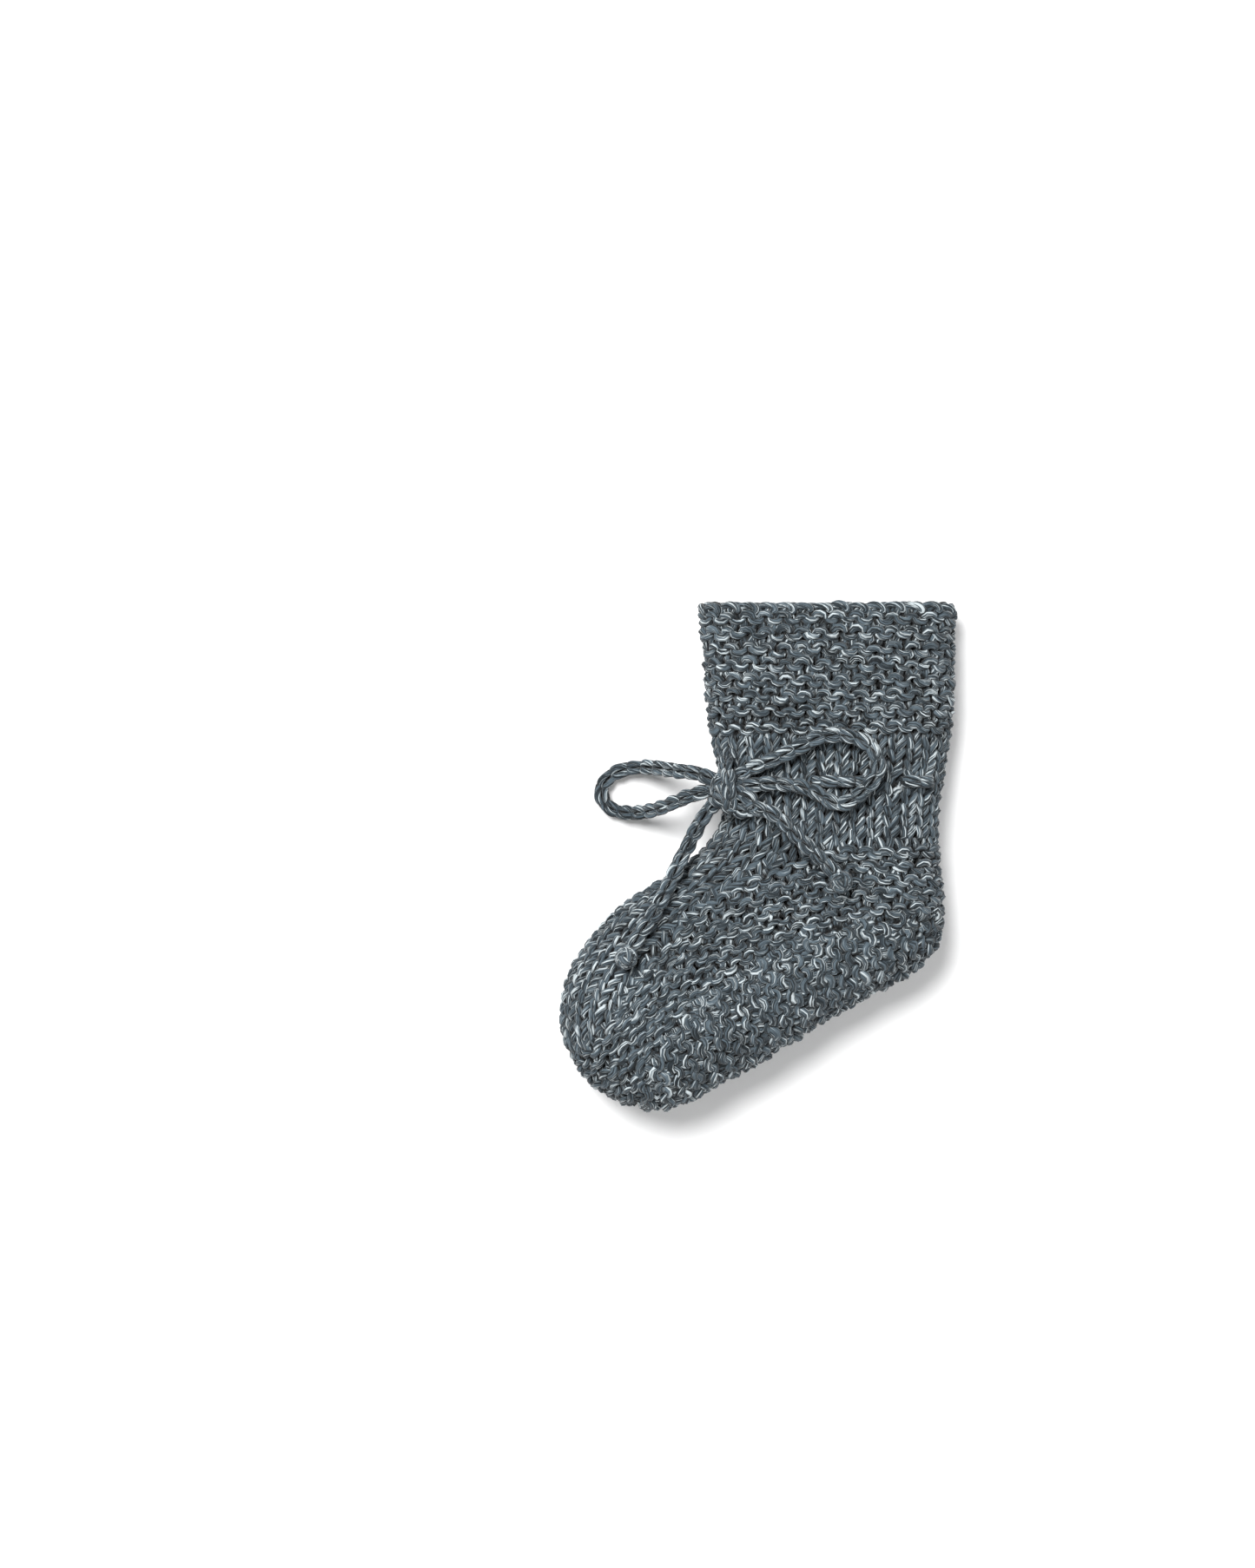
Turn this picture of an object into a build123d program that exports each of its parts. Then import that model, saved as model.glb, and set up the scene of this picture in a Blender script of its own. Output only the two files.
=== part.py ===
from build123d import *
import math
import os

# Baby bootie, lying on its side. Millimetres, +Z up, the floor is z = 0.
# The leg points along +Y, the heel is at +X and the toe points to -X, -Y.

# Driving dimensions
MID_HEIGHT = 12.9  # height of the bootie's middle plane above the floor at y = 0
TAPER = 0.0527  # the middle plane drops by this much for each millimetre towards the cuff
WALL = 4.0  # thickness of the knitted fabric
TOP_ROLL = 18.0  # how far in from the outline the upper face has risen to its full height
FLOOR_ROLL = 14.0  # the same for the face that lies on the floor
SKY = 60.0  # taller than anything in the model
FAR = 70.0  # beyond the bootie on every side, seen from above

MOUTH_Y = 64.3  # end of the leg, where the foot goes in
CUFF_Y = 33.3  # cuff above, ankle band below
TIE_Y = 19.6  # level of the drawstring
SEAM_WIDTH = 2.4  # sewn seam up the back of the heel and leg
SEAM_BOX = (30.0, 60.0)  # reach along x of the box that cuts the seam out of the back's rim
SEAM_FOOT_Y = -17.5  # where the seam meets the sole

# Levels from the flat middle of a face outwards, as distances in from the outline
FLOOR_INSETS = (9.0, 4.0, 1.3)
UPPER_INSETS = (14.0, 9.0, 5.0, 1.5)
INNER_FLOOR_INSETS = (6.0, 3.0, 1.0)
INNER_UPPER_INSETS = (10.0, 7.0, 4.0, 1.2)

CORD_D = 3.6  # crocheted tie, a little flat chain taken as a round cord
EYELET_D = 4.4  # way that the drawstring takes through the fabric
PROUD = 0.9  # how far the drawstring's centre stands out of the fabric where it shows
SLACK = 0.3  # gap between the drawstring and the inside of the fabric where it is hidden
FLOOR_GAP = 0.05  # smallest gap between the drawstring and the floor
KNOT_R = 5.4
TAIL_KNOT_R = 2.9
KNOT = (-8.2, 18.2, 21.0)  # centre of the bow's knot, and pivot of its loops and left tail
LUMP_R = 3.2
LUMP = (-3.4, 13.6, 23.8)  # turn of the tie beside the knot, where the right tail leaves it
BEND_SHARE = 0.45  # part of a cord's straight run that the bend at one of its ends takes up

# Outline of the bootie seen from above, clockwise from the back of the leg. It runs on past the
# mouth, where the leg is cut square.
OUTLINE = [
    (51.6, 82.0),
    (50.6, 64.0),
    (49.4, 35.0),
    (47.0, 19.6),
    (45.8, 6.0),
    (46.9, -8.0),
    (44.2, -24.6),
    (35.6, -31.3),
    (20.0, -39.7),
    (4.6, -49.3),
    (-12.0, -58.8),
    (-25.0, -64.1),
    (-37.0, -61.6),
    (-46.8, -53.4),
    (-51.1, -42.0),
    (-49.4, -30.0),
    (-43.2, -19.6),
    (-33.7, -10.2),
    (-21.6, -2.6),
    (-12.7, 5.0),
    (-9.7, 12.0),
    (-10.4, 20.0),
    (-12.8, 32.0),
    (-16.0, 64.0),
    (-17.4, 82.0),
    (-8.0, 96.0),
    (42.0, 96.0),
]

# Edge between the sole and the side band, from the heel to the toe
SOLE_EDGE = [
    (52.0, -20.0),
    (46.3, -17.4),
    (31.0, -16.4),
    (14.6, -19.9),
    (-3.9, -29.2),
    (-16.5, -38.5),
    (-24.5, -47.5),
    (-29.0, -57.0),
    (-31.5, -67.0),
]

# Edge between the side band and the parts above it: the ankle band, then the instep panel
BAND_EDGE = [
    (52.0, 5.4),
    (46.2, 5.3),
    (30.0, 5.0),
    (14.6, 4.0),
    (4.6, 1.0),
    (-8.4, -6.0),
    (-19.8, -14.0),
    (-28.4, -24.0),
    (-34.4, -32.5),
    (-40.0, -42.0),
    (-48.0, -49.8),
    (-54.0, -53.5),
]
INSTEP_START = (11.0, 2.9)  # where the instep panel's first row leaves the side band
INSTEP_FRONT = (-20.0, 13.5)  # that row's line, carried on past the front of the ankle

# Drawstring: in and out of the ankle band in the plane y = TIE_Y, both ends in the knot. Each
# station is a place along x, the face it is on (1 upper, -1 floor) and whether it shows outside.
TIE_STATIONS = [
    (-3.5, 1, False),
    (4.0, 1, False),
    (12.0, 1, False),
    (16.5, 1, True),
    (23.5, 1, True),
    (28.0, 1, False),
    (33.0, 1, False),
    (37.5, 1, True),
    (43.4, 1, True),
    (40.6, 1, False),
    (40.6, -1, False),
    (43.4, -1, True),
    (37.5, -1, True),
    (33.0, -1, False),
    (28.0, -1, False),
    (23.5, -1, True),
    (16.5, -1, True),
    (12.0, -1, False),
    (4.5, -1, False),
    (-1.5, -1, True),
    (-8.0, -1, True),
]
TIE_FRONT_X = -10.4  # front and back of the ankle band at the drawstring's level
TIE_BACK_X = 47.0
TIE_FRONT = [(-11.3, TIE_Y, 11.8), (-11.2, TIE_Y, 17.0)]  # up over the front of the ankle
TIE_START = (-5.8, TIE_Y, 20.6)  # the drawstring's two ends, inside the knot
TIE_END = (-10.6, TIE_Y, 20.2)

# The tie's free stretches. The left loop goes down to the floor, the others lie on the bootie.
FREE_CORDS = {
    "bow_loop_left": [
        (-14.0, 21.3, 20.4),
        (-19.5, 22.3, 16.5),
        (-24.5, 22.9, 9.5),
        (-30.0, 23.4, 3.8),
        (-36.2, 22.4, 2.1),
        (-40.4, 18.9, 1.9),
        (-40.2, 14.4, 1.9),
        (-36.2, 11.6, 2.2),
        (-31.0, 11.4, 4.2),
        (-25.8, 12.6, 9.8),
        (-20.4, 14.8, 16.0),
        (-14.2, 17.2, 19.0),
    ],
    "bow_loop_right": [
        (-4.2, 22.3, 24.0),
        (4.0, 25.5, 26.0),
        (9.8, 28.4, 25.7),
        (15.7, 31.4, 25.3),
        (21.9, 31.6, 25.4),
        (26.9, 29.4, 25.4),
        (29.6, 26.0, 25.7),
        (29.8, 22.4, 26.1),
        (27.4, 18.8, 26.5),
        (23.8, 15.4, 26.9),
        (20.1, 13.4, 27.1),
        (16.4, 15.2, 26.9),
        (12.0, 17.6, 26.6),
        (7.2, 18.9, 26.5),
        (1.8, 19.3, 26.3),
        (-2.6, 18.6, 25.3),
    ],
    "tie_tail_left": [
        (-12.2, 13.8, 19.4),
        (-16.0, 8.0, 19.0),
        (-19.8, 0.4, 20.6),
        (-23.9, -8.1, 25.2),
        (-28.0, -15.4, 28.3),
        (-32.2, -20.8, 29.8),
        (-33.9, -24.6, 31.0),
    ],
    "tie_tail_right": [
        (-0.2, 12.9, 26.5),
        (3.6, 11.2, 27.4),
        (6.9, 8.4, 27.9),
        (9.8, 5.0, 28.2),
        (13.9, 1.3, 28.5),
        (17.5, -2.4, 29.0),
        (20.1, -5.7, 29.9),
    ],
}
TAIL_KNOTS = {"tie_tail_left": "tail_knot_left", "tie_tail_right": "tail_knot_right"}


def inset_outline(amount, stretch):
    """The outline moved inwards by amount; stretch lengthens it along y for a sloping plane."""
    points = []
    for i, (x, y) in enumerate(OUTLINE):
        ahead = Vector(*OUTLINE[(i + 1) % len(OUTLINE)])
        behind = Vector(*OUTLINE[i - 1])
        along = (ahead - behind).normalized()
        points.append((x + amount * along.Y, (y - amount * along.X) * stretch))
    return points


def rolled(distance, roll):
    """Share of its full height that a face has reached at a distance in from the outline."""
    return math.sqrt(1 - (1 - min(distance / roll, 1)) ** 2)


def face_levels(roll, distances):
    """Levels of one face from its flat middle outwards, as (distance in, share of the height)."""
    flat = rolled(distances[0], roll)
    return [(distance, rolled(distance, roll) / flat) for distance in distances]


def both_faces(floor_roll, floor_insets, upper_roll, upper_insets):
    """Levels from the middle of the floor face, out over the rim, to the middle of the upper face."""
    floor_levels = face_levels(floor_roll, floor_insets)
    upper_levels = face_levels(upper_roll, upper_insets)
    return [(d, -rise) for d, rise in floor_levels] + [(0, 0)] + upper_levels[::-1]


def pillow(wall, levels):
    """Solid between the floor face and the upper face, wall inside the outer surface.

    Each level is the distance in from the outline and the share of the half height there,
    negative towards the floor. All points of a level lie in one sloping plane.
    """
    with BuildPart() as body:
        for distance, rise in levels:
            height = MID_HEIGHT + rise * (MID_HEIGHT - wall)
            slope = -TAPER * (1 + rise)
            plane = Plane(origin=(0, 0, height), x_dir=(1, 0, 0), z_dir=(0, -slope, 1))
            with BuildSketch(plane):
                with BuildLine():
                    Spline(*inset_outline(distance + wall, math.hypot(1, slope)), periodic=True)
                make_face()
        loft()
    return body.part


def tube(path, diameter):
    """Round cord along a path."""
    with BuildPart() as cord:
        with BuildSketch(Plane(origin=path @ 0, z_dir=path % 0)):
            Circle(diameter / 2)
        sweep(path=path)
    return cord.part


def cord_path(points, name):
    """Straight runs joined by tangent arcs, each arc as large as its two runs allow."""
    route = [Vector(*p) for p in points]
    radii = []
    for before, corner, after in zip(route, route[1:], route[2:]):
        turn = math.radians((corner - before).get_angle(after - corner))
        shorter = min((corner - before).length, (after - corner).length)
        radii.append(BEND_SHARE * shorter / math.tan(turn / 2))
    with BuildLine() as line:
        FilletPolyline(*points, radius=radii)
    print(f"{name}: length {line.wires()[0].length:.1f}, radii", [round(r, 1) for r in radii])
    return line.wires()[0]


def check_tube(name, solid, path):
    """Compare a cord's volume with its section times its length."""
    expected = math.pi * CORD_D**2 / 4 * path.length
    print(f"{name}: volume {solid.volume:.0f}, section times length {expected:.0f}")


def column_under(edge_points):
    """Everything below an edge drawn from the heel to the toe, as seen from above."""
    with BuildPart() as column:
        with BuildSketch():
            with BuildLine():
                edge = Spline(*edge_points)
                Polyline(edge @ 1, (-FAR, -FAR), (FAR, -FAR), edge @ 0)
            make_face()
        extrude(amount=SKY)
    return column.part


def tie_point(x, side, shows):
    """Point of the drawstring's route on the upper or the floor face."""
    half = MID_HEIGHT - TAPER * TIE_Y
    roll = TOP_ROLL if side > 0 else FLOOR_ROLL
    edge_distance = min(x - TIE_FRONT_X, TIE_BACK_X - x)
    if shows:
        rise = half * rolled(edge_distance, roll) + PROUD
    else:
        rise = (half - WALL) * rolled(edge_distance - WALL, roll - WALL) - CORD_D / 2 - SLACK
    return (x, TIE_Y, max(half + side * rise, CORD_D / 2 + FLOOR_GAP))


def save(name, part):
    part.label = name
    export_step(part, f"parts/{name}.step")


os.makedirs("parts", exist_ok=True)

# The shell: a pillow-shaped body, hollow, with the leg cut open at the mouth
outer = pillow(0, both_faces(FLOOR_ROLL, FLOOR_INSETS, TOP_ROLL, UPPER_INSETS))
inner_rolls = (FLOOR_ROLL - WALL, TOP_ROLL - WALL)
inner = pillow(WALL, both_faces(inner_rolls[0], INNER_FLOOR_INSETS, inner_rolls[1], INNER_UPPER_INSETS))
with BuildPart() as shell:
    add(outer)
    add(inner, mode=Mode.SUBTRACT)
    split(bisect_by=Plane(origin=(0, MOUTH_Y, 0), z_dir=(0, 1, 0)), keep=Keep.BOTTOM)

middle = Plane(origin=(0, 0, MID_HEIGHT), x_dir=(1, 0, 0), z_dir=(0, TAPER, 1))
cuff_line = Plane(origin=(0, CUFF_Y, 0), z_dir=(0, 1, 0))

# Strip on the middle plane at the back, from the mouth down to the sole, kept for the back seam
with BuildPart() as seam_strip:
    with BuildSketch(middle):
        with BuildLine():
            Polyline(
                (SEAM_BOX[0], SEAM_FOOT_Y),
                (SEAM_BOX[1], SEAM_FOOT_Y),
                (SEAM_BOX[1], FAR),
                (SEAM_BOX[0], FAR),
                close=True,
            )
        make_face()
    extrude(amount=SEAM_WIDTH / 2, both=True)

# Columns over the parts below each edge
under_sole_edge = column_under(SOLE_EDGE)
under_band_edge = column_under(BAND_EDGE)
with BuildPart() as under_instep_start:
    with BuildSketch():
        with BuildLine():
            left_of_it = [(-FAR, 0), (-FAR, -FAR), (INSTEP_START[0], -FAR)]
            Polyline(INSTEP_START, INSTEP_FRONT, *left_of_it, close=True)
        make_face()
    extrude(amount=SKY)

tie_stations = [tie_point(*station) for station in TIE_STATIONS]
tie_path = cord_path([TIE_START] + tie_stations + TIE_FRONT + [TIE_END], "drawstring")
with BuildPart() as knot_ball:
    with Locations(KNOT):
        Sphere(KNOT_R)
with BuildPart() as drawstring:
    add(tube(tie_path, CORD_D))
    add(knot_ball.part, mode=Mode.SUBTRACT)
eyelets = tube(tie_path, EYELET_D)
save("drawstring", drawstring.part)
with BuildPart() as bow_knot:
    add(knot_ball.part)
    with Locations(LUMP):
        Sphere(LUMP_R)
    add(outer, mode=Mode.SUBTRACT)
save("bow_knot", bow_knot.part)

# The knitted zones of the shell
with BuildPart() as back_seam:
    add(shell.part)
    add(seam_strip.part, mode=Mode.INTERSECT)
save("back_seam", back_seam.part)
with BuildPart() as body:
    add(shell.part)
    add(seam_strip.part, mode=Mode.SUBTRACT)
with BuildPart() as cuff:
    add(body.part)
    split(bisect_by=cuff_line, keep=Keep.TOP)
save("cuff", cuff.part)
with BuildPart() as ankle_band:
    add(body.part)
    split(bisect_by=cuff_line, keep=Keep.BOTTOM)
    add(under_band_edge, mode=Mode.SUBTRACT)
    add(under_instep_start.part, mode=Mode.SUBTRACT)
    add(eyelets, mode=Mode.SUBTRACT)
save("ankle_band", ankle_band.part)
with BuildPart() as instep_panel:
    add(body.part)
    add(under_band_edge, mode=Mode.SUBTRACT)
    add(under_instep_start.part, mode=Mode.INTERSECT)
save("instep_panel", instep_panel.part)
with BuildPart() as side_band:
    add(body.part)
    add(under_band_edge, mode=Mode.INTERSECT)
    add(under_sole_edge, mode=Mode.SUBTRACT)
save("side_band", side_band.part)
with BuildPart() as sole:
    add(body.part)
    add(under_sole_edge, mode=Mode.INTERSECT)
save("sole", sole.part)

# The tie's free stretches, with a knot at the end of each tail
for name, route in FREE_CORDS.items():
    path = cord_path(route, name)
    cord = tube(path, CORD_D)
    check_tube(name, cord, path)
    if name in TAIL_KNOTS:
        with BuildPart() as tail_knot:
            with Locations(path @ 1):
                Sphere(TAIL_KNOT_R)
        with BuildPart() as tail:
            add(cord)
            add(tail_knot.part, mode=Mode.SUBTRACT)
        save(TAIL_KNOTS[name], tail_knot.part)
        cord = tail.part
    save(name, cord)
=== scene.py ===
import bpy
import math
import numpy as np
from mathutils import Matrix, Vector


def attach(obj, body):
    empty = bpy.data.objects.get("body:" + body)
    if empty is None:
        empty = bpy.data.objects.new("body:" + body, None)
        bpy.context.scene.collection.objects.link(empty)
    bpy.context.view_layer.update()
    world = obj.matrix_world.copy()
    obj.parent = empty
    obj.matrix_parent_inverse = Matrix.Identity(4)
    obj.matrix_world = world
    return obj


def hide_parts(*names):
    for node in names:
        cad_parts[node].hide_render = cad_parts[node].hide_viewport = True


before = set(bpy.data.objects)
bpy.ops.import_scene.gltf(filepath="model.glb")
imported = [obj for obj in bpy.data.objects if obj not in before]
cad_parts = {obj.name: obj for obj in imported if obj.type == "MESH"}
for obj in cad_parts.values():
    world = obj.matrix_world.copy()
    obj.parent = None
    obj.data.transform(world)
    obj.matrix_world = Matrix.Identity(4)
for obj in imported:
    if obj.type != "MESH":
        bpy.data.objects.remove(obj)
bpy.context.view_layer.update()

MM = 0.001  # lengths below are in millimetres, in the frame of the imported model
TAU = 2 * math.pi
rng = np.random.default_rng(7)

# --- The bootie's form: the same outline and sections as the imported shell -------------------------

MID_HEIGHT = 12.9  # middle plane above the floor at y = 0
TAPER = 0.0527  # fall of the middle plane towards the cuff
TOP_ROLL, TOP_FLAT = 18.0, 14.0  # rounding of the upper face, and where it has become flat
FLOOR_ROLL, FLOOR_FLAT = 14.0, 9.0  # the same for the face on the floor
FABRIC_MID = 2.0  # the yarn's loops swing about this depth inside the outer surface
SWELL = 0.45  # unevenness of the upper face, and its waves across and along the leg
SWELL_X = (0.11, 0.6)
SWELL_Y = (0.13, 0.4)
MOUTH_Y = 64.3
CUFF_Y = 33.3
TIE_Y = 19.6
KNOT = np.array((-8.2, 18.2, 21.0))

OUTLINE = [
    (51.6, 82.0),
    (50.6, 64.0),
    (49.4, 35.0),
    (47.0, 19.6),
    (45.8, 6.0),
    (46.9, -8.0),
    (44.2, -24.6),
    (35.6, -31.3),
    (20.0, -39.7),
    (4.6, -49.3),
    (-12.0, -58.8),
    (-25.0, -64.1),
    (-37.0, -61.6),
    (-46.8, -53.4),
    (-51.1, -42.0),
    (-49.4, -30.0),
    (-43.2, -19.6),
    (-33.7, -10.2),
    (-21.6, -2.6),
    (-12.7, 5.0),
    (-9.7, 12.0),
    (-10.4, 20.0),
    (-12.8, 32.0),
    (-16.0, 64.0),
    (-17.4, 82.0),
    (-8.0, 96.0),
    (42.0, 96.0),
]
SOLE_EDGE = [
    (52.0, -20.0),
    (46.3, -17.4),
    (31.0, -16.4),
    (14.6, -19.9),
    (-3.9, -29.2),
    (-16.5, -38.5),
    (-24.5, -47.5),
    (-29.0, -57.0),
    (-31.5, -67.0),
]
BAND_EDGE = [
    (52.0, 5.4),
    (46.2, 5.3),
    (30.0, 5.0),
    (14.6, 4.0),
    (4.6, 1.0),
    (-8.4, -6.0),
    (-19.8, -14.0),
    (-28.4, -24.0),
    (-34.4, -32.5),
    (-40.0, -42.0),
    (-48.0, -49.8),
    (-54.0, -53.5),
]
ANKLE_START = [(-16.0, 11.8), (-10.8, 10.2), (0.0, 6.5), (11.0, 3.4), (30.0, 5.0), (46.4, 5.3), (54.0, 5.4)]


def smooth_line(points, closed=False, per_span=24):
    """Points along the cubic spline through the given points."""
    p = np.array(points, float)
    n = len(p)
    if closed:
        p = np.vstack((p, p[:1]))
    h = np.linalg.norm(np.diff(p, axis=0), axis=1)
    matrix = np.zeros((n, n))
    right = np.zeros((n, p.shape[1]))
    for i in range(n):
        if not closed and i in (0, n - 1):
            j = 1 if i == 0 else n - 2
            k = 0 if i == 0 else n - 2
            matrix[i, i], matrix[i, j] = 2, 1
            right[i] = 3 * (p[k + 1] - p[k]) / h[k]
            continue
        before, after = (i - 1) % n, (i + 1) % n
        hb, ha = h[before if closed else i - 1], h[i]
        matrix[i, before] += ha
        matrix[i, i] += 2 * (hb + ha)
        matrix[i, after] += hb
        right[i] = 3 * (ha * (p[i] - p[before]) / hb + hb * (p[after] - p[i]) / ha)
    slope = np.linalg.solve(matrix, right)
    t = np.linspace(0, 1, per_span, endpoint=False)[:, None]
    spans = []
    for i in range(n if closed else n - 1):
        a, b = p[i], p[i + 1]
        ma, mb = slope[i] * h[i], slope[(i + 1) % n] * h[i]
        spans.append(
            (2 * t**3 - 3 * t**2 + 1) * a
            + (t**3 - 2 * t**2 + t) * ma
            + (3 * t**2 - 2 * t**3) * b
            + (t**3 - t**2) * mb
        )
    line = np.vstack(spans)
    return line if closed else np.vstack((line, p[-1:]))


outline = smooth_line(OUTLINE, closed=True)
CHUNK = 2000  # points measured at a time


def depth_in(xy):
    """Distance from the outline, positive inside."""
    a = outline
    edge = np.roll(a, -1, axis=0) - a
    length2 = (edge**2).sum(1)
    out = np.empty(len(xy))
    for lo in range(0, len(xy), CHUNK):
        q = xy[lo : lo + CHUNK, None, :] - a[None]
        t = np.clip((q * edge).sum(2) / length2, 0, 1)
        gap = q - t[..., None] * edge
        d2 = (gap**2).sum(2)
        near = d2.argmin(1)
        rows = np.arange(len(near))
        g, e = gap[rows, near], edge[near]
        inward = g[:, 0] * e[:, 1] - g[:, 1] * e[:, 0]
        out[lo : lo + CHUNK] = np.sqrt(d2[rows, near]) * np.where(inward >= 0, 1, -1)
    return out


def share(distance, roll, flat):
    """Share of its full height that a face has reached at a distance in from its rim."""
    d = np.clip(distance, 0, flat)
    return np.sqrt(1 - (1 - d / roll) ** 2) / math.sqrt(1 - (1 - flat / roll) ** 2)


def lift(xy, side, inside=FABRIC_MID):
    """Plan points put onto a face of the bootie (side 1 upper, -1 floor), inside its surface."""
    middle = MID_HEIGHT - TAPER * xy[:, 1]
    roll, flat = (TOP_ROLL, TOP_FLAT) if side > 0 else (FLOOR_ROLL, FLOOR_FLAT)
    part = share(depth_in(xy) - inside, roll - inside, flat - inside)
    height = (middle - inside) * part
    if side > 0:
        wave_x = np.sin(SWELL_X[0] * xy[:, 0] + SWELL_X[1])
        wave_y = np.sin(SWELL_Y[0] * xy[:, 1] + SWELL_Y[1])
        height = height + SWELL * wave_x * wave_y * part**2
    return np.column_stack((xy, middle + side * height))


def along(path, at):
    """Points of a path at given shares of its length."""
    step = np.linalg.norm(np.diff(path, axis=0), axis=1)
    reach = np.concatenate(([0], np.cumsum(step)))
    want = np.asarray(at) * reach[-1]
    return np.column_stack([np.interp(want, reach, path[:, k]) for k in range(path.shape[1])])


def trimmed(path):
    """The part of a plan path that lies inside the rim of the fabric's middle surface."""
    inside = depth_in(path) - FABRIC_MID
    keep = np.nonzero(inside > 0)[0]
    first, last = keep[0], keep[-1]

    def crossing(i, j):
        f = inside[i] / (inside[i] - inside[j])
        return path[i] + f * (path[j] - path[i])

    parts = [path[first : last + 1]]
    if first > 0:
        parts.insert(0, crossing(first, first - 1)[None])
    if last < len(path) - 1:
        parts.append(crossing(last, last + 1)[None])
    return np.vstack(parts)


RING_POINTS = 140
STRIP_POINTS = 90
STRIP_OVERREACH = 1.3  # a strip's plan path goes this much further than its row
RIM_START = -0.5  # it starts just outside the rim


def ring(path):
    """Closed row round the bootie: over the upper face along the path, back under the floor face."""
    q = 0.5 * (1 - np.cos(np.linspace(0, math.pi, RING_POINTS)))
    plan = along(trimmed(path), q)
    return np.vstack((lift(plan, 1), lift(plan[::-1], -1)[1:]))


def reach_along(points):
    """Length along a line up to each of its points."""
    return np.concatenate(([0], np.cumsum(np.linalg.norm(np.diff(points, axis=0), axis=1))))


def crossing_place(plan, border):
    """Place in a plan path's points, from its start, where it crosses a border; 0 if it never does."""
    a, b = plan[:-1, None], plan[1:, None]
    c, d = border[None, :-1], border[None, 1:]
    ab, cd, ac = b - a, d - c, c - a
    bottom = ab[..., 0] * cd[..., 1] - ab[..., 1] * cd[..., 0]
    bottom = np.where(np.abs(bottom) < 1e-12, 1e-12, bottom)
    t = (ac[..., 0] * cd[..., 1] - ac[..., 1] * cd[..., 0]) / bottom
    u = (ac[..., 0] * ab[..., 1] - ac[..., 1] * ab[..., 0]) / bottom
    hits = np.argwhere((t >= 0) & (t < 1) & (u >= 0) & (u <= 1))
    if len(hits) == 0:
        return 0.0
    return hits[0][0] + t[tuple(hits[0])]


def strip(rim_share, angle, border, span, count):
    """Row over the rim, square to it: points either way from the rim, and the row's half length.

    The row starts at a share of the outline's length, and runs inward at an angle on both faces.
    """
    loop = np.vstack((outline, outline[:1]))
    rim = along(loop, [rim_share])[0]
    inward = np.array((math.cos(math.radians(angle)), math.sin(math.radians(angle))))
    q = 1 - np.cos(np.linspace(0, math.pi / 2, STRIP_POINTS))
    plan = trimmed(rim + inward * (span * STRIP_OVERREACH * q[:, None] + RIM_START))
    upper, lower = lift(plan, 1), lift(plan, -1)
    up_reach, low_reach = reach_along(upper), reach_along(lower)
    last = crossing_place(plan, border)
    half = float(np.interp(last, np.arange(len(plan)), up_reach))
    want = np.linspace(0, span, count + 1)
    sides = []
    for points, reach in ((lower, low_reach), (upper, up_reach)):
        sides.append(np.column_stack([np.interp(want, reach, points[:, k]) for k in range(3)]))
    return np.vstack((sides[0][::-1], sides[1][1:])), half


# --- Knitting ------------------------------------------------------------------------------------

GRID_PER_STITCH = 6
SEGMENTS = 16  # tube segments in one stitch
SIDES = 9
SWING = 1.5  # how far a loop bulges wider than its neck
REACH = 0.8  # half height of a loop, in rows
GARTER_REACH = 1.0  # the same two where the rows are drawn together in ridges
GARTER_SWING = 1.15
RIDGE_STEEPNESS, RIDGE_LEAN = 1.6, 0.5  # how a ridge's loops turn from the front to the back
HEAD_EDGE = 2.2  # how sharply a loop's head is told from its legs
# Unevenness of a row: along it, across it, out of it, and in the yarn's thickness
PLAIN_WOBBLE = (0.05, 0.09, 0.13, 0.09)
RIDGED_WOBBLE = (0.07, 0.15, 0.22, 0.12)
EXTRA_ROWS = 2.0  # rows that a grid goes on past its zone
STRIP_OVERRUN = 0.35  # stitches by which a strip's row may pass its border
EYELET_PUSH, EYELET_REACH = 1.5, 2.4  # how the stitches stand aside round an eyelet


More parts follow.
